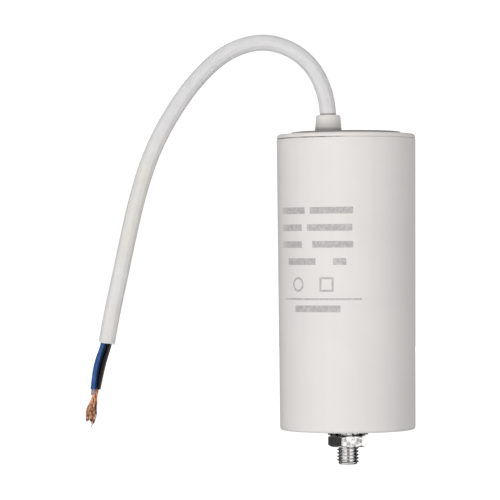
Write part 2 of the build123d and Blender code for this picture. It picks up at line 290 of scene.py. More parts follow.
@dataclass(frozen=True)
class CanPlastic(MouldedPlastic):
    """The can's plastic with a worn grey print of plain bars, a rule and two outlines."""

    name: str = "can_white"
    ink: Triple = (0.30, 0.295, 0.29)
    ink_strength: float = 0.70
    fade_start: float = -72.0
    fade_end: float = -54.0
    edge: float = 0.16 * MM
    outline_z: float = 53.8 * MM
    outline_half: float = 2.3 * MM
    outline_width: float = 0.78 * MM
    ring_angle: float = -46.5
    square_angle: float = -19.0
    # First and last angle in degrees from the can's front, positive towards +X, then the height
    # of the middle and the thickness in millimetres
    bars: tuple[tuple[float, float, float, float], ...] = (
        (-69.0, -38.5, 80.6, 2.4), (-33.4, 3.4, 80.6, 2.4), (-69.0, -41.8, 74.4, 2.4),
        (-36.4, 2.6, 74.4, 2.4), (-69.0, -41.8, 68.3, 2.4), (-31.4, 3.4, 68.3, 2.4),
        (-58.7, -28.5, 62.1, 2.4), (-13.3, -2.4, 62.1, 2.4), (-63.9, 10.1, 48.5, 0.62),
        (-50.1, -7.4, 45.0, 2.4),
    )

    def _round(self, angle: float) -> float:
        """Distance round the can from its front to an angle in degrees."""
        return math.radians(angle) * self.radius

    def _inside(self, distance: Term, half: float) -> Term:
        """1 where a distance is under a half width, with a soft edge."""
        return distance.ramp(half + self.edge / 2, half - self.edge / 2)

    def _outlines(self, arc: Term, z: Term) -> Term:
        """The mask of a plain ring and a plain square outline.

        Args:
            arc: Distance round the can from its front.
            z: Height above the base.

        Returns:
            1 on the two outlines and 0 off them.
        """
        above = z - self.outline_z
        away = (arc - self._round(self.ring_angle)).distance(above)
        furthest = abs(arc - self._round(self.square_angle)).largest(abs(above))
        ring, square = (self._inside(abs(distance - self.outline_half), self.outline_width / 2)
                        for distance in (away, furthest))
        return ring.largest(square)

    def detail(self, graph: Graph, colour: NodeSocket, arc: Term) -> NodeSocket:
        """Prints the can.

        Args:
            graph: The material's graph.
            colour: The plain plastic.
            arc: Distance round the can from its front.

        Returns:
            The printed plastic.
        """
        place = graph.place()
        _, _, z = graph.axes(place)
        printed = self._outlines(arc, z)
        for start, end, height, thickness in self.bars:
            across = abs(arc - self._round((start + end) / 2))
            bar = self._inside(across, self._round((end - start) / 2))
            bar *= self._inside(abs(z - height * MM), thickness * MM / 2)
            printed = printed.largest(bar)
        wear = graph.noise(place, 900.0, 4.0, 0.65).ramp(0.30, 0.62, 0.55, 1.0)
        fade = arc.ramp(self._round(self.fade_start), self._round(self.fade_end), 0.35, 1.0)
        return graph.mix(printed * wear * fade * self.ink_strength, colour, self.ink)


@dataclass(frozen=True)
class LidPlastic(MouldedPlastic):
    """The lid's plastic, darkened a little with painted shade where the collar and the raised
    centre rise.
    """

    name: str = "lid_white"
    lid_shade: Triple = (0.20, 0.19, 0.185)
    collar_x: float = -6.5 * MM
    collar_reach: float = 6.6 * MM
    collar_fade: float = 1.4 * MM
    foot_z: float = 110.6 * MM
    foot_height: float = 1.2 * MM
    unshaded_z: float = 115.4 * MM
    step_radius: float = 20.2 * MM
    step_z: float = 108.9 * MM
    step_edge: float = 0.15 * MM
    step_reach: float = 0.55 * MM

    def detail(self, graph: Graph, colour: NodeSocket, arc: Term) -> NodeSocket:
        """Paints shade on the lid.

        Args:
            graph: The material's graph.
            colour: The plain plastic.
            arc: Distance round the lid from its front.

        Returns:
            The soiled plastic.
        """
        x, y, z = graph.axes(graph.place())
        # Painted shade on the collar, growing towards its foot
        from_collar = (x - self.collar_x).distance(y)
        near_collar = from_collar.ramp(self.collar_reach, self.collar_reach - self.collar_fade)
        low = z.ramp(self.unshaded_z, self.foot_z, 0.0, 0.45)
        low += z.ramp(self.foot_z + self.foot_height, self.foot_z, 0.0, 0.4)
        colour = graph.mix(near_collar * low, colour, self.lid_shade)
        # Painted shade on the side wall of the raised centre, weaker at the far left
        step = abs(x.distance(y) - self.step_radius).ramp(self.step_reach, self.step_edge)
        above = z.ramp(self.step_z, self.step_z + self.step_edge)
        side = arc.ramp(-1.2 * self.radius, -0.9 * self.radius, 0.45, 0.9)
        return graph.mix(step * above * side, colour, self.lid_shade)


@dataclass(frozen=True)
class SheathPvc:
    """White cable sheath, drawn over two laid cores that show through as faint ribs.

    It is yellower on its hanging run, and has a painted shadow ring where it goes into the collar.
    """

    name: str = "white_sheath"
    colour: Triple = (0.775, 0.765, 0.765)
    shade: Triple = (0.67, 0.66, 0.665)
    aged: Triple = (0.785, 0.768, 0.715)
    aged_below: Range = (112.0 * MM, 90.0 * MM)
    aged_above: Range = (50.0 * MM, 75.0 * MM)
    mouth_shade: Triple = (0.22, 0.21, 0.20)
    mouth_shade_z: float = 116.3 * MM
    mouth_shade_right_of: Range = (-15.0 * MM, -12.0 * MM)
    roughness: float = 0.42
    ribs: int = 11
    rib_turns: float = 3.0
    rib_depth: float = 0.12 * MM

    def material(self) -> Material:
        """Makes the sheath's material, with its ribs on the cable's own UV map.

        Returns:
            The material.
        """
        graph = Graph(self.name)
        u, v, _ = graph.axes(graph.node("ShaderNodeTexCoord").outputs["UV"])
        ribs = ((v * self.ribs + u * self.rib_turns) * math.tau).sine() * 0.5 + 0.5
        place = graph.place()
        cloud = graph.noise(place, 160.0, 3.0, 0.6)
        grain = graph.noise(place, 2400.0, 2.0, 0.6)
        x, _, z = graph.axes(place)
        # A painted shadow ring on the sheath just above the collar's mouth
        at_mouth = abs(z - self.mouth_shade_z).ramp(0.5 * MM, 0.15 * MM) * x.ramp(*self.mouth_shade_right_of)
        hanging = z.ramp(*self.aged_below) * z.ramp(*self.aged_above, 0.35, 0.9)
        mottled = cloud.ramp(0.4, 0.7) * 0.3 + grain.ramp(0.5, 0.7) * 0.3
        colour = graph.mix(mottled, graph.mix(hanging, self.colour, self.aged), self.shade)
        return graph.surface(
            Base_Color=graph.mix(at_mouth * 0.75, colour, self.mouth_shade),
            Roughness=self.roughness + grain * 0.12 - 0.06,
            Normal=graph.bump(ribs + cloud * 0.6 + grain * 0.25, self.rib_depth, 0.6),
            IOR=1.52,
            Subsurface_Weight=0.5,
            Subsurface_Radius=(1.0, 1.0, 1.0),
            Subsurface_Scale=0.8 * MM,
        )


@dataclass(frozen=True)
class CoreInsulation:
    """Coloured insulation of one core, with painted light on the side that is furthest in +X.

    Args:
        name: The material's name.
        colour: Its plain colour.
        worn: Its colour in streaks.
        painted_side_light: Its colour on the side furthest in +X: painted shade on the blue core, a
            painted highlight on the black one.
        line: Where its centreline lies in X for a height z, as the factors of 1, z and z squared.
        side_light_start: How far in +X of the centreline that painted side light begins.
        side_light_end: How far in +X it is full.
    """

    name: str
    colour: Triple
    worn: Triple
    painted_side_light: Triple
    line: Triple
    side_light_start: float
    side_light_end: float = 0.9 * MM
    roughness: float = 0.40

    def material(self) -> Material:
        """Makes the insulation's material.

        Returns:
            The material.
        """
        graph = Graph(self.name)
        streak = graph.noise(graph.place(0.22), 1900.0, 3.0, 0.6)
        x, _, z = graph.axes(graph.place())
        start, slope, curve = self.line
        # Painted light on the +X side: shade on the blue core where it meets the black one, a
        # highlight on the black one
        across = x - (z * curve + slope) * z - start
        plain = graph.mix(streak.ramp(0.42, 0.66), self.colour, self.worn)
        return graph.surface(
            Base_Color=graph.mix(across.ramp(self.side_light_start, self.side_light_end), plain, self.painted_side_light),
            Roughness=self.roughness + streak * 0.2 - 0.1,
            Normal=graph.bump(streak, 0.03 * MM, 0.5),
            IOR=1.34,
        )


@dataclass(frozen=True)
class PlatedSteel:
    """Zinc-plated steel, scuffed by handling, with painted shade on one side, in the thread's roots
    and near the can, and a painted reflection of the can on its top.

    Args:
        name: The material's name.
        colour: The bright plate.
        dull: Its dulled blotches, which stop at lit_side_x so that the side past it stays bright as
            painted light.
        roughness: How rough the bright plate is.
        scuff: How much rougher the blotches are.
        dent_depth: Depth of its dents.
        blotch_scale: Blotches per metre.
        side_shade: How much painted shade covers it where X is past the two numbers of
            side_shade_x.
        root_radius: Radius of the thread's roots, which get painted shade in front and at the
            sides.
        darker_z: It is darker below the first height and above the second; the darkening above is
            painted shade under the can.
        lit_above: Height above which it takes a bright painted reflection of the can.
    """

    name: str
    colour: Triple
    dull: Triple
    roughness: float
    scuff: float
    dent_depth: float
    blotch_scale: float = 900.0
    lit_side_x: float = FAR
    side_shade: float = 0.0
    side_shade_x: Range = (FAR, 2 * FAR)
    root_radius: float = 0.0
    darker_z: Range = (-FAR, FAR)
    lit_above: float = FAR
    painted_shade_colour: Triple = (0.03, 0.028, 0.025)
    painted_reflection: Triple = (0.92, 0.91, 0.90)

    def _root_shade(self, x: Term, y: Term) -> Term:
        """The mask of the painted shade in the thread's roots.

        Args:
            x: Distance from the axis towards +X.
            y: Distance from the axis towards the back.

        Returns:
            A number from 0 to 1.
        """
        front = abs(x).ramp(0.9 * MM, 0.2 * MM, 0.0, 0.75)
        sides = abs(x + 0.25 * MM).ramp(2.4 * MM, 3.0 * MM)
        deep = x.distance(y).ramp(self.root_radius + 0.16 * MM, self.root_radius, 0.0, 0.9)
        return deep * front.largest(sides)

    def material(self) -> Material:
        """Makes the plating's material.

        Returns:
            The material.
        """
        graph = Graph(self.name)
        place = graph.place()
        blotch = graph.noise(place, self.blotch_scale, 4.0, 0.6)
        scratch = graph.noise(graph.place(0.25), 3800.0, 3.0, 0.7)
        x, y, z = graph.axes(place)
        below, above = self.darker_z
        # Painted shade: on one side in X, in the thread's roots and in bands at set heights
        shade_mask = (x + blotch * 2.0 * MM).ramp(*self.side_shade_x) * self.side_shade
        shade_mask = shade_mask.largest(self._root_shade(x, y))
        # Darker above the second height, which is painted shade at the nut's top under the can, and
        # below the first, at the stud's end
        shade_mask = shade_mask.largest(z.ramp(above, above + 0.25 * MM, 0.0, 0.8))
        shade_mask = shade_mask.largest(z.ramp(below, below - 0.4 * MM, 0.0, 0.6))
        # Dulled blotches are wear; they stop short of the +X side, which stays bright as painted
        # light
        dulled = blotch.ramp(0.42, 0.64) * x.ramp(self.lit_side_x + 0.8 * MM, self.lit_side_x)
        colour = graph.mix(dulled, self.colour, self.dull)
        colour = graph.mix(shade_mask, colour, self.painted_shade_colour)
        # A bright painted reflection of the white can above the given height
        top_reflection = z.ramp(self.lit_above, self.lit_above + 0.2 * MM, 0.0, 0.9)
        return graph.surface(
            Base_Color=graph.mix(top_reflection, colour, self.painted_reflection),
            Metallic=1.0,
            Roughness=self.roughness + blotch.ramp(0.4, 0.7) * self.scuff,
            Normal=graph.bump(blotch * 1.5 + scratch * 0.5, self.dent_depth, 0.6),
        )


@dataclass(frozen=True)
class BareCopper:
    """Fine drawn copper: bright, tarnished in patches, with painted shade in its gaps and on its +X
    side, and dark at its burnt tips.
    """

    name: str = "bare_copper"
    colour: Triple = (1.0, 0.60, 0.39)
    tarnish: Triple = (0.80, 0.32, 0.15)
    burnt_and_shade: Triple = (0.07, 0.016, 0.004)
    sheen: Triple = (1.0, 0.62, 0.42)
    burnt_z: Range = (9.5 * MM, 4.0 * MM)
    shaded_side_x: Range = (-93.4 * MM, -92.9 * MM)
    shaded_side_z: Range = (12.0 * MM, 9.0 * MM)

    def material(self) -> Material:
        """Makes the copper's material.

        Returns:
            The material.
        """
        graph = Graph(self.name)
        place = graph.place()
        patches = graph.noise(place, 1300.0, 3.0, 0.6)
        x, _, z = graph.axes(place)
        low = z.ramp(*self.burnt_z) * graph.noise(place, 700.0, 2.0).ramp(0.42, 0.56)
        # Painted shade in the gaps between the locks and on the bundle's +X side; the darker lower
        # end is burnt tips
        gap_shade = graph.noise(graph.place(0.35), 1500.0, 2.0, 0.5).ramp(0.55, 0.62)
        edge = x.ramp(*self.shaded_side_x) * z.ramp(*self.shaded_side_z)
        dark = (low * 0.8).largest(gap_shade * 0.7).largest(edge * 0.9)
        plain = graph.mix(patches.ramp(0.46, 0.58), self.colour, self.tarnish)
        return graph.surface(
            Base_Color=graph.mix(dark, plain, self.burnt_and_shade),
            Metallic=0.4,
            Specular_Tint=self.sheen,
            Roughness=0.3 + patches * 0.2,
        )


@dataclass(frozen=True)
class TornInsulation:
    """Thin torn rest of insulation, pale and milky."""

    name: str = "torn_insulation"
    colour: Triple = (0.50, 0.49, 0.55)
    stain: Triple = (0.30, 0.22, 0.24)

    def material(self) -> Material:
        """Makes the scrap's material.

        Returns:
            The material.
        """
        graph = Graph(self.name)
        blotch = graph.noise(graph.place(), 2200.0, 3.0, 0.6)
        return graph.surface(
            Base_Color=graph.mix(blotch.ramp(0.42, 0.62), self.colour, self.stain),
            Roughness=0.35 + blotch * 0.2,
            Alpha=blotch.ramp(0.25, 0.60, 1.0, 0.55),
        )


@dataclass(frozen=True)
class WoundFilm:
    """Edges or outside of thin wound film, with fine turns about the can's axis."""

    name: str
    light: Triple
    dark: Triple
    turns: float
    metallic: float
    roughness: float

    def material(self) -> Material:
        """Makes the film's material.

        Returns:
            The material.
        """
        graph = Graph(self.name)
        place = graph.place()
        x, y, z = graph.axes(place)
        bands = ((x.distance(y) * self.turns + z * 60.0) * math.tau).sine() * 0.5 + 0.5
        cloud = graph.noise(place, 240.0, 3.0, 0.6)
        return graph.surface(
            Base_Color=graph.mix(bands * 0.5 + cloud * 0.4, self.light, self.dark),
            Metallic=self.metallic,
            Roughness=self.roughness + cloud * 0.15,
            Normal=graph.bump(bands, 0.02 * MM, 0.4),
        )


@dataclass(frozen=True)
class CastMatter:
    """Grainy or blotchy solid matter: resin, sprayed zinc, solder or a plain tube."""

    name: str
    colour: Triple
    blotch: Triple
    grain_scale: float
    grain_depth: float
    roughness: float
    metallic: float = 0.0

    def material(self) -> Material:
        """Makes the material.

        Returns:
            The material.
        """
        graph = Graph(self.name)
        place = graph.place()
        grain = graph.noise(place, self.grain_scale, 4.0, 0.6)
        cloud = graph.noise(place, 130.0, 2.0, 0.5)
        return graph.surface(
            Base_Color=graph.mix(cloud.ramp(0.35, 0.7), self.colour, self.blotch),
            Metallic=self.metallic,
            Roughness=self.roughness + grain * 0.15,
            Normal=graph.bump(grain, self.grain_depth, 0.7),
        )


# Shapes


class Shell:
    """One mesh, made from rings of vertices or from an outline that turns about the can's axis."""

    def __init__(self) -> None:
        """Starts with an empty mesh."""
        self.mesh = bmesh.new()

    def rings(self, count: int, places: list[Place], joined: bool = False) -> None:
        """Adds a skin through several rings.

        Args:
            count: How many vertices each ring has.
            places: For each ring, the places of its vertices.
            joined: Whether the last ring meets the first; otherwise both ends are capped.
        """
        ring = bmesh.ops.create_circle(self.mesh, segments=count, radius=1.0)["verts"]
        angles = [math.atan2(vertex.co.y, vertex.co.x) for vertex in ring]
        first = edges = list(dict.fromkeys(edge for vertex in ring for edge in vertex.link_edges))
        for index, place in enumerate(places):
            if index:
                grown = bmesh.ops.extrude_edge_only(self.mesh, edges=edges)["geom"]
                made = {item for item in grown if isinstance(item, BMVert)}
                edges = [item for item in grown
                         if isinstance(item, BMEdge) and made.issuperset(item.verts)]
                ring = [next(edge.other_vert(vertex) for edge in vertex.link_edges
                             if edge.other_vert(vertex) in made) for vertex in ring]
            for vertex, angle in zip(ring, angles):
                vertex.co = place(angle)
        if joined:
            bmesh.ops.bridge_loops(self.mesh, edges=first + edges)
        else:
            bmesh.ops.holes_fill(self.mesh, edges=first + edges, sides=0)

    def spin(self, outline: list[tuple[float, float]], steps: int, turns: int = 1,
             rise: float = 0.0) -> None:
        """Turns an open outline about the can's axis.

        Args:
            outline: Pairs of a distance from the axis and a height.
            steps: How many steps a turn has.
            turns: How many turns it makes.
            rise: How far it rises in a turn.
        """
        corners = [self.mesh.verts.new((radius, 0.0, z)) for radius, z in outline]
        runs = [self.mesh.edges.new(pair) for pair in zip(corners, corners[1:])]
        bmesh.ops.spin(
            self.mesh, geom=corners + runs, cent=(0, 0, 0), axis=(0, 0, 1),
            dvec=(0, 0, rise / steps), angle=math.tau * turns, steps=steps * turns,
            use_merge=rise == 0,
        )
        bmesh.ops.remove_doubles(self.mesh, verts=self.mesh.verts, dist=0.002 * MM)

    def move(self, matrix: Matrix) -> None:
        """Moves the whole mesh by a matrix."""
        bmesh.ops.transform(self.mesh, matrix=matrix, verts=self.mesh.verts)

    def data(self, name: str, material: Material, sharp_angle: float = 30.0) -> Mesh:
        """Ends the mesh.

        Args:
            name: Its name.
            material: Its finish.
            sharp_angle: Edges that turn more than this, in degrees, stay sharp.

        Returns:
            The mesh, with its faces outwards.
        """
        bmesh.ops.remove_doubles(self.mesh, verts=self.mesh.verts, dist=0.0005 * MM)
        bmesh.ops.recalc_face_normals(self.mesh, faces=self.mesh.faces)
        for face in self.mesh.faces:
            face.smooth = True
        for edge in self.mesh.edges:
            if len(edge.link_faces) == 2 and edge.calc_face_angle() > math.radians(sharp_angle):
                edge.smooth = False
        data = bpy.data.meshes.new(name)
        self.mesh.to_mesh(data)
        self.mesh.free()
        data.materials.append(material)
        return data

    def piece(self, name: str, material: Material, sharp_angle: float) -> Object:
        """Ends the mesh, as data does, and makes it a piece of the part."""
        return add_piece(name, self.data(name, material, sharp_angle))


def new_curve(name: str, resolution: int, radius: float = 0.0, round_steps: int = 0) -> Curve:
    """Makes an empty curve.

    Args:
        name: Its name.
        resolution: How finely each run is divided.
        radius: The radius of the tube along its runs, or 0 for bare lines.
        round_steps: How finely the tube is divided round it.

    Returns:
        The curve.
    """
    curve = bpy.data.curves.new(name, "CURVE")
    curve.dimensions = "3D"
    curve.resolution_u = resolution
    curve.bevel_depth, curve.bevel_resolution = radius, round_steps
    curve.use_fill_caps = radius > 0
    return curve


def add_run(curve: Curve, points: list[Vector], order: int = 3) -> None:
    """Adds a smooth run to a curve.

    Args:
        curve: The curve.
        points: The run's control points.
        order: How many of them act on one place.
    """
    spline = curve.splines.new("NURBS")
    spline.points.add(len(points) - 1)
    for target, point in zip(spline.points, points):
        target.co = (*point, 1.0)
    spline.order_u, spline.use_endpoint_u = order, True


def add_piece(name: str, data: Mesh | Curve) -> Object:
    """Links a mesh or curve as an object that rides on the frame's only body.

    Args:
        name: The piece's name.
        data: Its mesh or curve.

    Returns:
        The object.
    """
    piece = bpy.data.objects.new(name, data)
    bpy.context.scene.collection.objects.link(piece)
    log.info("%s: %s", name, data.materials[0].name)
    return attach(piece, "root")


def dress(node: str, material: Material) -> None:
    """Gives a solid of the frame its finish.

    Args:
        node: The solid's name.
        material: Its finish.
    """
    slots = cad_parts[node].data.materials
    for index in range(len(slots)):
        slots[index] = material
    log.info("%s: %s", node, material.name)


def polar(radius: float, angle: float, height: float) -> Triple:
    """The point at a distance, an angle in radians and a height on the Z axis."""
    return radius * math.cos(angle), radius * math.sin(angle), height


def circle_at(radius: float, height: float, turn: float = 0.0) -> Place:
    """A round ring about the Z axis, whose vertices are turned by an angle in radians."""
    return lambda angle: polar(radius, angle + turn, height)


def facing(end: Vector, heading: Vector) -> Matrix:
    """The move of a shape from the Z axis to the end of a cable or core with this heading."""
    return Matrix.Translation(end) @ heading.to_track_quat("Z", "Y").to_matrix().to_4x4()


# Sub-assemblies


@dataclass
class Housing:
    """The can and its lid, which the frame's solids show as they are."""

    can_finish: CanPlastic
    lid_finish: LidPlastic

    def build(self) -> None:
        """Dresses the can and the lid."""
        dress("can", self.can_finish.material())
        dress("lid", self.lid_finish.material())


@dataclass
class Fastening:
    """The stud with its thread, the nut and the washer under the can."""

    thread_finish: PlatedSteel
    nut_finish: PlatedSteel
    washer_finish: PlatedSteel
    thread_radius: float = 4.0 * MM
    thread_pitch: float = 1.25 * MM
    pitch_depth_share: float = 0.3248
    flank_angle: float = 30.0
    crest_flat: float = 0.16 * MM
    root_flat: float = 0.30 * MM
    crest_z_at_left: float = -7.53 * MM
    steps_per_turn: int = 60
    end_chamfer: float = 0.9 * MM
    across_flats: float = 13.0 * MM
    head_bottom_z: float = 2.5 * MM
    nut_turn: float = 10.0
    nut_bore: float = 3.66 * MM
    nut_mouth: float = 0.45 * MM
    nut_round: float = 0.14 * MM
    nut_sharp_angle: float = 18.0
    crown_share: float = 0.95
    chamfer_angle: float = 30.0
    facets_per_side: int = 12

    def build(self) -> None:
        """Builds the stud and the nut and dresses the washer."""
        stud = self._stud(self.thread_finish.material())
        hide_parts("mounting_stud")
        nut = self._nut(self.nut_finish.material())
        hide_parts("stud_nut")
        dress("lock_washer", self.washer_finish.material())

    def _thread(self, shell: Shell, top_z: float, end_z: float) -> None:
        """Adds the helical thread as a closed length of rod with a chamfered end.

        Args:
            shell: The stud's mesh.
            top_z: Where the thread goes into the nut.
            end_z: The stud's free end.
        """
        crest, pitch, half_root = self.thread_radius, self.thread_pitch, self.root_flat / 2
        flank = (pitch - self.crest_flat - self.root_flat) / 2
        root = crest - flank / math.tan(math.radians(self.flank_angle))
        rise = half_root + flank
        outline = [(root, 0.0), (root, half_root), (crest, rise), (crest, rise + self.crest_flat),
                   (root, pitch - half_root), (root, pitch)]
        start_z = self.crest_z_at_left - pitch / 2 - rise - self.crest_flat / 2
        while start_z > end_z - 2 * pitch:
            start_z -= pitch
        turns = math.ceil((top_z - start_z) / pitch) + 1
        outline = [(radius, start_z + z) for radius, z in outline]
        shell.spin(outline, self.steps_per_turn, turns, pitch)
        mesh = shell.mesh
        for cut_z, outward in ((end_z, -1), (top_z, 1)):
            bmesh.ops.bisect_plane(
                mesh, geom=mesh.verts[:] + mesh.edges[:] + mesh.faces[:], plane_co=(0, 0, cut_z),
                plane_no=(0, 0, outward), clear_outer=True,
            )
            rim = [edge for edge in mesh.edges if edge.is_boundary
                   and all(abs(vertex.co.z - cut_z) < 0.001 * MM for vertex in edge.verts)]
            bmesh.ops.holes_fill(mesh, edges=rim, sides=0)
        for vertex in mesh.verts:
            limit = crest - self.end_chamfer + (vertex.co.z - end_z)
            radius = math.hypot(vertex.co.x, vertex.co.y)
            if radius > limit:
                vertex.co.xy *= limit / radius

    def _stud(self, material: Material) -> Object:
        """Builds the stud: its thread, the shank through the nut and the head in the can's floor.

        Args:
            material: Its finish.

        Returns:
            The piece.
        """
        low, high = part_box("mounting_stud")
        nut_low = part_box("stud_nut")[0].z
        shell = Shell()
        self._thread(shell, nut_low + 0.05 * MM, low.z)
        shank = self.thread_radius - self.pitch_depth_share * self.thread_pitch
        shell.rings(72, [circle_at(shank, nut_low + 0.02 * MM),
                         circle_at(shank, self.head_bottom_z)])
        corner = self.across_flats / math.sqrt(3)
        shell.rings(6, [circle_at(corner, self.head_bottom_z), circle_at(corner, high.z)])
        return shell.piece("threaded_stud", material, 24.0)

    def _flats(self, face_z: float, inward: int) -> Place:
        """The ring where the nut's turned corners meet its flats.

        Args:
            face_z: Height of the nut's face that the corners are turned from.
            inward: 1 if the nut lies above that face, -1 if it lies below.

        Returns:
            The places of its vertices.
        """
        apothem, side, turn = self.across_flats / 2, math.tau / 6, math.radians(self.nut_turn)
        crown, slope = self.crown_share * apothem, math.tan(math.radians(self.chamfer_angle))

        def place(angle: float) -> Triple:
            """Place of one vertex, on the hexagon's outside."""
            out = apothem / math.cos(angle % side - side / 2)
            return polar(out, angle + turn, face_z + inward * (out - crown) * slope)

        return place

    def _nut(self, material: Material) -> Object:
        """Builds the nut: a hexagon whose corners are turned off at both faces.

        Args:
            material: Its finish.

        Returns:
            The piece.
        """
        low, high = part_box("stud_nut")
        crown, turn = self.crown_share * self.across_flats / 2, math.radians(self.nut_turn)
        mouth = self.nut_bore + self.nut_mouth
        shell = Shell()
        shell.rings(
            6 * self.facets_per_side,
            [circle_at(mouth, low.z), circle_at(crown, low.z, turn), self._flats(low.z, 1),
             self._flats(high.z, -1), circle_at(crown, high.z, turn), circle_at(mouth, high.z),
             circle_at(self.nut_bore, high.z - self.nut_mouth),
             circle_at(self.nut_bore, low.z + self.nut_mouth)],
            joined=True,
        )
        nut = shell.piece("hexagon_nut", material, self.nut_sharp_angle)
        bevel = nut.modifiers.new("soft_edges", "BEVEL")
        bevel.width, bevel.segments, bevel.harden_normals = self.nut_round, 3, True
        bevel.limit_method, bevel.angle_limit = "ANGLE", math.radians(self.nut_sharp_angle)
        return nut


class CoreSide(Enum):
    """The two cores of the cable."""

    BLUE = "blue"
    BLACK = "black"


@dataclass
class Core:
    """One core's run beyond the sheath's cut end.

    Args:
        side: Which core it is.
        finish: Its insulation.
        offset: Its place on the sheath's end face, across and back, in metres.
        run: Its points after the first three, in millimetres from the centre of the collar's mouth.
        strand_run: The line of its bare strands, in millimetres from the core's end.
        seed: Seed of the strands' irregularity.
    """

    side: CoreSide
    finish: CoreInsulation
    offset: tuple[float, float]
    run: list[Triple]
    strand_run: list[Triple]
    seed: int


@dataclass
class Fraying:
    """How the bare strands of a core part: in locks, spread round the bunch by the golden angle."""

    locks: int = 7
    strands_per_lock: int = 5
    steps: int = 9
    radius: float = 0.12 * MM
    lock_radius: float = 0.18 * MM
    bundle_radius: float = 0.46 * MM
    flare: Range = (1.575, 2.52)
    hook: Range = (0.35, 0.90)
    lock_reach: Range = (0.87, 0.96)
    strand_reach: Range = (0.95, 1.02)
    twist: float = 1.9
    own_flare: float = 0.7
    own_twist: float = 5.0
    shake: float = 0.07 * MM
    golden_angle: float = 2.39996
    spread_start: float = 0.12
    spread_length: float = 0.68
    curl_length: float = 0.26
    # The strand that reaches furthest: its core, its lock and its number in the lock
    longest: tuple[CoreSide, int, int] = (CoreSide.BLACK, 1, 0)

    def spread(self, share: float) -> float:
        """How far the locks have parted at a share of their length, from 0 to 1."""
        spread = min(max((share - self.spread_start) / self.spread_length, 0.0), 1.0)
        return spread * spread * (3 - 2 * spread)

    def curl(self, share: float) -> float:
        """How far the locks' tips have curled in at a share of their length, from 0 to 1."""
        return max(share - 1 + self.curl_length, 0.0) / self.curl_length


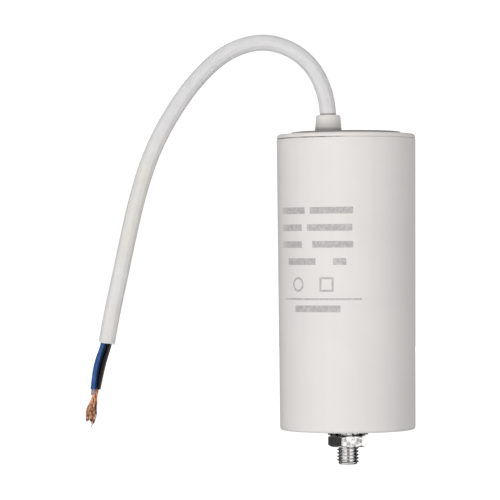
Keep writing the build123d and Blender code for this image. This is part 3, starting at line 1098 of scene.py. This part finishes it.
@dataclass
class Lead:
    """The cable: its sheath, the two cores beyond it and their frayed strands."""

    sheath_finish: SheathPvc
    copper: BareCopper
    torn: TornInsulation
    cores: list[Core]
    fraying: Fraying
    collar_x: float = -6.5 * MM
    sheath_radius: float = 3.0 * MM
    core_radius: float = 1.12 * MM
    core_inside: float = 2.0 * MM
    lead_in: float = 2.2 * MM
    length: float = 187.0 * MM
    lip_inner: float = 2.2 * MM
    lip_height: float = 0.45 * MM
    lip_back: float = 0.6 * MM
    lip_edge: float = 0.12 * MM
    lip_skin: float = 0.01 * MM
    lip_uneven: float = 0.09 * MM
    scrap_thickness: float = 0.12 * MM
    # Radius, place beyond the core's end and tear of each ring of the scrap, in millimetres
    scrap_rings: tuple[Triple, ...] = (
        (0.88, -0.3, 0.0), (0.86, 0.5, 0.0), (0.80, 1.2, 0.1), (0.78, 2.0, 0.4),
    )
    # Points from the centre of the collar's mouth, in millimetres, as in the solid's source
    sheath_run: tuple[Triple, ...] = (
        (0.0, 0.0, -15.1), (0.0, 0.0, -6.6), (0.0, 0.2, 2.5), (-1.8, 0.5, 10.5), (-5.7, 0.9, 18.1),
        (-12.4, 1.3, 24.1), (-21.2, 1.5, 27.3), (-29.8, 1.3, 26.7), (-38.2, 0.8, 23.0),
        (-45.6, 0.0, 16.8), (-53.6, -1.2, 7.2), (-61.4, -2.6, -5.5), (-66.6, -3.7, -17.1),
        (-70.7, -4.5, -30.5), (-74.0, -4.9, -44.6), (-77.1, -4.9, -59.1), (-80.2, -4.5, -72.8),
        (-82.1, -4.0, -83.1),
    )

    def build(self) -> None:
        self.mouth = Vector((self.collar_x, 0.0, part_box("lid")[1].z))
        route = [self._from_mouth(point) for point in self.sheath_run]
        sheath = self._tube("sheath", route, self.sheath_radius, self.sheath_finish.material(), 6)
        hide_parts("cable_sheath")
        heading = (route[-1] - route[-2]).normalized()
        copper = self.copper.material()
        ends = [self._cut_end(route[-1], heading)]
        for core in self.cores:
            ends += self._core(core, route[-1], heading, copper)
        tuple(self.mouth)

    def _from_mouth(self, point: Triple) -> Vector:
        """A point of a run, which is given in millimetres from the collar's mouth, in the frame."""
        return self.mouth + Vector(point) * MM

    @staticmethod
    def _tube(name: str, points: list[Vector], radius: float, material: Material,
              round_steps: int) -> Object:
        """A smooth round tube along control points.

        Args:
            name: The piece's name.
            points: Control points of its centreline.
            radius: The tube's radius.
            material: Its finish.
            round_steps: How finely it is divided round it.

        Returns:
            The piece.
        """
        curve = new_curve(name, 12, radius, round_steps)
        add_run(curve, points)
        curve.materials.append(material)
        return add_piece(name, curve)

    @staticmethod
    def _sampled(points: list[Vector]) -> list[Vector]:
        """Points close together along the smooth curve of some control points.

        Args:
            points: The control points.

        Returns:
            The points in order, as the curve itself gives them.
        """
        curve = new_curve("line_for_points", 12)
        add_run(curve, points)
        holder = bpy.data.objects.new("line_for_points", curve)
        bpy.context.scene.collection.objects.link(holder)
        bpy.context.view_layer.update()
        mesh = bpy.data.meshes.new_from_object(holder)
        sampled = [vertex.co.copy() for vertex in mesh.vertices]
        bpy.data.objects.remove(holder)
        bpy.data.meshes.remove(mesh)
        return sampled

    def _cut_end(self, end: Vector, heading: Vector) -> Object:
        """The lip of the sheath's cut end, which stands round the two cores.

        Args:
            end: Centre of the cut end.
            heading: Direction in which the cable leaves it.

        Returns:
            The piece.
        """
        def ragged(radius: float, height: float) -> Place:
            """A ring of the lip, uneven along the cable where it stands beyond the cut."""
            uneven = self.lip_uneven * (height > 0)
            return lambda angle: polar(radius, angle, height + uneven * math.sin(3 * angle + 0.6))

        outer, inner, edge = self.sheath_radius, self.lip_inner, self.lip_edge
        lip, back, skin = self.lip_height, self.lip_back, self.sheath_radius + self.lip_skin
        shell = Shell()
        shell.rings(
            48,
            [ragged(outer - edge, -back), ragged(skin, edge - back), ragged(skin, lip - edge),
             ragged(outer - edge, lip), ragged(inner + edge, lip), ragged(inner, lip - edge),
             ragged(inner, -back)],
            joined=True,
        )
        shell.move(facing(end, heading))
        return shell.piece("sheath_cut_end", self.sheath_finish.material(), 40.0)

    def _core(self, core: Core, end: Vector, heading: Vector, copper: Material) -> list[Object]:
        """One core beyond the sheath with its strands.

        Args:
            core: The core.
            end: Centre of the sheath's cut end.
            heading: Direction in which the cable leaves it.
            copper: The strands' finish.

        Returns:
            The core's pieces.
        """
        across = heading.cross(Vector((0, 1, 0))).normalized()
        back = across.cross(heading).normalized()
        start = end + across * core.offset[0] + back * core.offset[1]
        points = [start - heading * self.core_inside, start, start + heading * self.lead_in]
        points += [self._from_mouth(point) for point in core.run]
        tail = self._tube(
            f"{core.side.value}_core", points, self.core_radius, core.finish.material(), 4)
        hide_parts(f"{core.side.value}_core_tail")
        heading = (points[-1] - points[-2]).normalized()
        strands = self._strands(core, points[-1], heading, copper)
        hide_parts(f"{core.side.value}_strands")
        pieces = [tail, strands]
        if core.side is CoreSide.BLUE:
            pieces.append(self._torn_rest(points[-1], heading))
        return pieces

    def _strands(self, core: Core, end: Vector, heading: Vector, material: Material) -> Object:
        """The bare strands of one core: laid close where they leave it, then frayed and curled.

        Args:
            core: The core.
            end: Its end.
            heading: Its direction there.
            material: The strands' finish.

        Returns:
            The piece.
        """
        chance = random.Random(core.seed)
        fray = self.fraying
        line = [end - heading * MM] + [end + Vector(step) * MM for step in core.strand_run]
        axis = self._sampled(line)
        curve = new_curve(f"{core.side.value}_frayed_strands", 4, fray.radius, 1)
        side = heading.orthogonal().normalized()
        ahead = heading.cross(side)
        for lock in range(fray.locks):
            away = fray.bundle_radius * math.sqrt((lock + 0.5) / fray.locks)
            flare = chance.uniform(*fray.flare)
            hook = chance.uniform(*fray.hook)
            reach = chance.uniform(*fray.lock_reach)
            for member in range(fray.strands_per_lock):
                long = reach * chance.uniform(*fray.strand_reach)
                if (core.side, lock, member) == fray.longest:
                    long = 1.0
                run = []
                for share in (index / (fray.steps - 1) for index in range(fray.steps)):
                    here = axis[round(share * long * (len(axis) - 1))]
                    spread, curl = fray.spread(share), fray.curl(share)
                    out = away * (1 + flare * spread) * (1 - hook * curl * curl)
                    turn = lock * fray.golden_angle + fray.twist * share + hook * curl
                    own = fray.lock_radius * (1 + fray.own_flare * spread)
                    own_turn = member * math.tau / fray.strands_per_lock
                    own_turn += fray.own_twist * share + lock
                    aside, above = (
                        part(turn) * out + part(own_turn) * own
                        + chance.uniform(-fray.shake * spread, fray.shake * spread)
                        for part in (math.cos, math.sin)
                    )
                    run.append(here + side * aside + ahead * above)
                add_run(curve, run, 4)
        curve.materials.append(material)
        return add_piece(curve.name, curve)

    def _torn_rest(self, end: Vector, heading: Vector) -> Object:
        """A thin torn rest of insulation round the strands at the blue core's end.

        Args:
            end: The core's end.
            heading: Its direction there.

        Returns:
            The piece.
        """
        def ring(radius: float, height: float, tear: float) -> Place:
            """A ring of the scrap.

            Args:
                radius: The ring's radius.
                height: Its place beyond the core's end.
                tear: How ragged it is.

            Returns:
                The places of its vertices.
            """
            return lambda angle: polar(
                radius * (1 + 0.08 * math.sin(2 * angle + 40 * height / MM)), angle,
                height + tear * (0.6 * math.sin(3 * angle + 1.0) + 0.4 * math.sin(7 * angle)),
            )

        rows = [[size * MM for size in row] for row in self.scrap_rings]
        outside = [ring(*row) for row in rows]
        inside = [ring(radius - self.scrap_thickness, *rest) for radius, *rest in rows]
        shell = Shell()
        shell.rings(36, outside + inside[::-1], joined=True)
        shell.move(facing(end, heading))
        scrap = shell.piece("torn_insulation_rest", self.torn.material(), 50.0)
        return scrap


@dataclass
class Element:
    """What the can holds: the film roll, its contacts, the inner leads and the resin."""

    finishes: dict[str, WoundFilm | CastMatter | CoreInsulation | BareCopper]

    def build(self) -> None:
        """Dresses each hidden solid."""
        for node, finish in self.finishes.items():
            dress(node, finish.material())


# Studio


@dataclass(frozen=True)
class SoftBox:
    """One rectangular soft light that faces the can's middle and shows in no reflection.

    Args:
        name: Its name.
        azimuth: Degrees round from the camera's side, positive towards +X.
        elevation: Degrees above the horizon.
        distance: Distance from the can's middle.
        width: Its width.
        height: Its height.
        radiance: Its brightness.
        tint: Its colour.
    """

    name: str
    azimuth: float
    elevation: float
    distance: float
    width: float
    height: float
    radiance: float
    tint: Triple = (1.0, 1.0, 1.0)

    def build(self, target: Vector) -> None:
        """Makes the light.

        Args:
            target: The point that it faces.
        """
        turn, rise = math.radians(self.azimuth), math.radians(self.elevation)
        away = Vector(polar(math.cos(rise), turn - math.pi / 2, math.sin(rise)))
        data = bpy.data.lights.new(self.name, "AREA")
        data.shape = "RECTANGLE"
        data.size, data.size_y = self.width, self.height
        data.energy = self.radiance * math.pi * self.width * self.height
        data.color = self.tint
        light = bpy.data.objects.new(self.name, data)
        light.visible_glossy = False
        light.location = target + away * self.distance
        light.rotation_euler = away.to_track_quat("Z", "Y").to_euler()
        bpy.context.scene.collection.objects.link(light)


@dataclass
class Studio:
    """The pale floor with its round wall, the soft lights and the camera."""

    boxes: list[SoftBox]
    ambient: float = 0.50
    mirrored_strength: float = 1.15
    # Brightness that shiny surfaces mirror at the horizon, by degrees round from the camera's side
    mirrored: tuple[Range, ...] = (
        (-180.0, 0.02), (-132.0, 0.02), (-118.0, 0.40), (-106.0, 0.02), (-95.0, 0.02),
        (-84.0, 0.30), (-70.0, 0.60), (-60.0, 0.90), (-24.0, 1.0), (-10.0, 0.74), (6.0, 0.74),
        (16.0, 0.96), (56.0, 0.88), (70.0, 0.50), (84.0, 0.20), (96.0, 0.02), (126.0, 0.02),
        (132.0, 1.0), (148.0, 1.0), (154.0, 0.02),
    )
    # The same for what they mirror steeply above and below
    mirrored_steep: tuple[Range, ...] = (
        (-180.0, 0.08), (-178.5, 0.08), (-171.0, 1.0), (-90.0, 0.9), (-75.0, 0.1), (75.0, 0.1),
        (90.0, 0.7), (171.0, 0.7), (178.5, 0.08),
    )
    ceiling_share: float = 0.65
    target: Triple = (0.0, 0.0, 0.055)
    floor_gap: float = 0.05 * MM
    floor_reach: float = 2.4
    wall_round: float = 0.6
    wall_round_steps: int = 8
    wall_height: float = 5.0
    floor_colour: Triple = (0.42, 0.42, 0.42)
    floor_glow: float = 0.86
    camera_place: Triple = (-0.03573, -1.0, 0.06642)
    camera_lens: float = 194.8
    camera_roll: float = 0.36

    def build(self) -> None:
        """Makes the floor, the lights and the camera."""
        self._floor()
        for box in self.boxes:
            box.build(Vector(self.target))
        self._ambient_light()
        self._camera()
        scene = bpy.context.scene
        scene.view_settings.view_transform = "Standard"
        scene.view_settings.look = "None"

    def _floor(self) -> None:
        """A pale floor that rises into a round wall. It lights nothing and shows one side only."""
        base = cad_box[0].z - self.floor_gap
        flat = self.floor_reach - self.wall_round
        turns = (math.pi / 2 * step / self.wall_round_steps
                 for step in range(self.wall_round_steps + 1))
        outline = [(0.0, base)]
        outline += [(flat + self.wall_round * math.sin(turn),
                     base + self.wall_round * (1 - math.cos(turn))) for turn in turns]
        outline.append((self.floor_reach, base + self.wall_height))
        shell = Shell()
        shell.spin(outline, 96)
        data = shell.data("floor", self._floor_material())
        if min(data.polygons, key=lambda face: face.center.z).normal.z < 0:
            data.flip_normals()
        floor = bpy.data.objects.new("floor", data)
        bpy.context.scene.collection.objects.link(floor)
        for ray in ("diffuse", "glossy", "transmission", "shadow"):
            setattr(floor, f"visible_{ray}", False)

    def _floor_material(self) -> Material:
        """Makes the floor's even, softly lit white, which is clear when seen from below.

        Returns:
            The material.
        """
        graph = Graph("pale_floor")
        glow = graph.node(
            "ShaderNodeBsdfPrincipled", {},
            {"Base Color": self.floor_colour, "Roughness": 0.9, "Specular IOR Level": 0.0,
             "Emission Color": (1.0, 1.0, 1.0), "Emission Strength": self.floor_glow},
        )
        clear = graph.node("ShaderNodeBsdfTransparent")
        behind = graph.node("ShaderNodeNewGeometry").outputs["Backfacing"]
        seen = graph.node(
            "ShaderNodeMixShader", {}, {0: behind, 1: glow.outputs[0], 2: clear.outputs[0]})
        graph.node("ShaderNodeOutputMaterial", {}, {"Surface": seen.outputs[0]})
        return graph.owner

    def _ambient_light(self) -> None:
        """Lights the room evenly, and gives shiny surfaces soft lights and dark walls to mirror."""
        world = bpy.data.worlds.new("studio_room")
        graph = Graph(world.name, world)
        x, y, z = graph.axes(graph.node("ShaderNodeTexCoord").outputs["Generated"])
        turn = x.angle_from(y * -1.0) / math.tau + 0.5
        walls, steep = (
            Term(graph, graph.node("ShaderNodeValToRGB", {"stops": [
                (degrees / 360 + 0.5, level) for degrees, level in levels
            ]}, {"Fac": turn}).outputs["Color"])
            for levels in (self.mirrored, self.mirrored_steep)
        )
        walls *= abs(z).ramp(0.28, 0.55, 1.0, 0.05)
        steep *= abs(z).ramp(0.50, 0.84) * z.ramp(0.93, 0.985, 1.0, 0.1)
        steep *= z.ramp(-0.3, 0.3, 1.0, self.ceiling_share)
        shiny = graph.node("ShaderNodeLightPath").outputs["Is Glossy Ray"]
        colour = graph.mix(
            shiny, (self.ambient,) * 3, walls.largest(steep) * self.mirrored_strength)
        background = graph.node("ShaderNodeBackground", {}, {"Color": colour})
        graph.node("ShaderNodeOutputWorld", {}, {"Surface": background.outputs[0]})
        bpy.context.scene.world = world

    def _camera(self) -> None:
        """Puts the camera level in front of the can, a little to its left."""
        data = bpy.data.cameras.new("camera")
        data.lens, data.sensor_width = self.camera_lens, 36.0
        data.clip_start, data.clip_end = 0.05, 20.0
        camera = bpy.data.objects.new("camera", data)
        camera.location = self.camera_place
        camera.rotation_euler = (math.pi / 2, math.radians(self.camera_roll), 0.0)
        bpy.context.scene.collection.objects.link(camera)
        bpy.context.scene.camera = camera


def main() -> None:
    """Builds and dresses every piece, then the studio."""
    logging.basicConfig(level=logging.INFO, format="%(name)s: %(message)s")
    Housing(CanPlastic(), LidPlastic()).build()
    Fastening(
        # Painted shade on the thread's +X side and in its roots, and darker at the stud's end
        thread_finish=PlatedSteel(
            "thread_zinc", (0.93, 0.92, 0.91), (0.74, 0.73, 0.72), 0.09, 0.06, 0.006 * MM,
            side_shade=0.8, side_shade_x=(3.5 * MM, 4.0 * MM), root_radius=3.33 * MM,
            darker_z=(-12.2 * MM, FAR)),
        # Painted shade at the nut's top under the can; its +X side, free of dull blotches, stays
        # bright as painted light
        nut_finish=PlatedSteel(
            "nut_zinc", (0.92, 0.91, 0.90), (0.30, 0.29, 0.28), 0.11, 0.18, 0.07 * MM, 620.0,
            lit_side_x=4.6 * MM, darker_z=(-FAR, -2.4 * MM)),
        # The washer's dark plate and its darker -X side are painted shade under the can; its bright
        # top is a painted reflection of the can
        washer_finish=PlatedSteel(
            "washer_zinc_painted_shade", (0.42, 0.42, 0.42), (0.20, 0.20, 0.20), 0.30, 0.25, 0.03 * MM,
            side_shade=0.85, side_shade_x=(0.5 * MM, -2.5 * MM), lit_above=-1.5 * MM),
    ).build()
    blue = Core(
        CoreSide.BLUE,
        CoreInsulation("blue_pvc", (0.014, 0.080, 0.27), (0.040, 0.130, 0.34),
                       (0.002, 0.010, 0.040), (-0.0918, -0.2747, 10.302), 0.25 * MM),
        offset=(-1.05 * MM, -1.0 * MM),
        run=[(-85.5, -5.2, -90.0), (-86.6, -5.1, -95.4), (-87.1, -5.0, -100.5)],
        strand_run=[(0.2, -0.1, -2.0), (-0.4, 0.1, -5.5), (-2.1, 0.3, -9.5), (-2.3, 0.4, -13.2)],
        seed=7,
    )
    black = Core(
        CoreSide.BLACK,
        CoreInsulation("black_pvc", (0.002, 0.002, 0.006), (0.006, 0.005, 0.008),
                       (0.085, 0.068, 0.060), (-0.0945, 0.0965, 3.18), 0.45 * MM),
        offset=(0.75 * MM, 1.1 * MM),
        run=[(-83.4, -3.2, -90.4), (-84.7, -3.1, -95.8), (-85.7, -3.1, -100.6)],
        strand_run=[(-0.7, -0.3, -2.0), (-1.3, -0.7, -5.5), (-1.9, -0.9, -9.5),
                    (-2.3, -1.0, -14.0)],
        seed=11,
    )
    Lead(SheathPvc(), BareCopper(), TornInsulation(), [blue, black], Fraying()).build()
    zinc = CastMatter(
        "sprayed_zinc", (0.50, 0.50, 0.50), (0.38, 0.38, 0.38), 2600.0, 0.15 * MM, 0.55, 0.9)
    solder = CastMatter(
        "solder", (0.66, 0.66, 0.67), (0.52, 0.52, 0.53), 700.0, 0.04 * MM, 0.22, 1.0)
    Element({
        "winding_core": CastMatter(
            "core_tube", (0.66, 0.66, 0.63), (0.58, 0.58, 0.55), 900.0, 0.02 * MM, 0.45),
        "winding": WoundFilm(
            "metallised_film", (0.66, 0.67, 0.69), (0.45, 0.46, 0.48), 4200.0, 0.8, 0.25),
        "winding_wrap": WoundFilm(
            "clear_wrap", (0.80, 0.80, 0.78), (0.66, 0.66, 0.63), 2600.0, 0.0, 0.22),
        "bottom_end_spray": zinc,
        "top_end_spray": replace(zinc, name="sprayed_zinc_top"),
        "blue_lead": replace(blue.finish, name="blue_lead_pvc", painted_side_light=blue.finish.colour),
        "black_lead": replace(black.finish, name="black_lead_pvc", painted_side_light=black.finish.worn),
        "blue_lead_end_wire": BareCopper("blue_lead_copper"),
        "black_lead_end_wire": BareCopper("black_lead_copper"),
        "top_solder": solder,
        "bottom_solder": replace(solder, name="solder_below"),
        "potting_resin": CastMatter(
            "potting_resin", (0.22, 0.17, 0.11), (0.15, 0.11, 0.07), 300.0, 0.03 * MM, 0.2),
    }).build()
    Studio([
        SoftBox("key", -15.0, 10.0, 1.2, 0.6, 1.3, 2.45),
        SoftBox("left", -54.0, 0.0, 1.2, 0.6, 1.3, 0.68, (0.98, 0.99, 1.0)),
        SoftBox("right", 15.0, 10.0, 1.2, 0.6, 1.3, 0.40, (1.0, 0.985, 0.975)),
        SoftBox("under", -10.0, -50.0, 1.0, 0.9, 0.6, 0.25),
        SoftBox("back", 180.0, 0.0, 1.2, 0.5, 1.3, 2.10),
    ]).build()


if __name__ == "__main__":
    main()
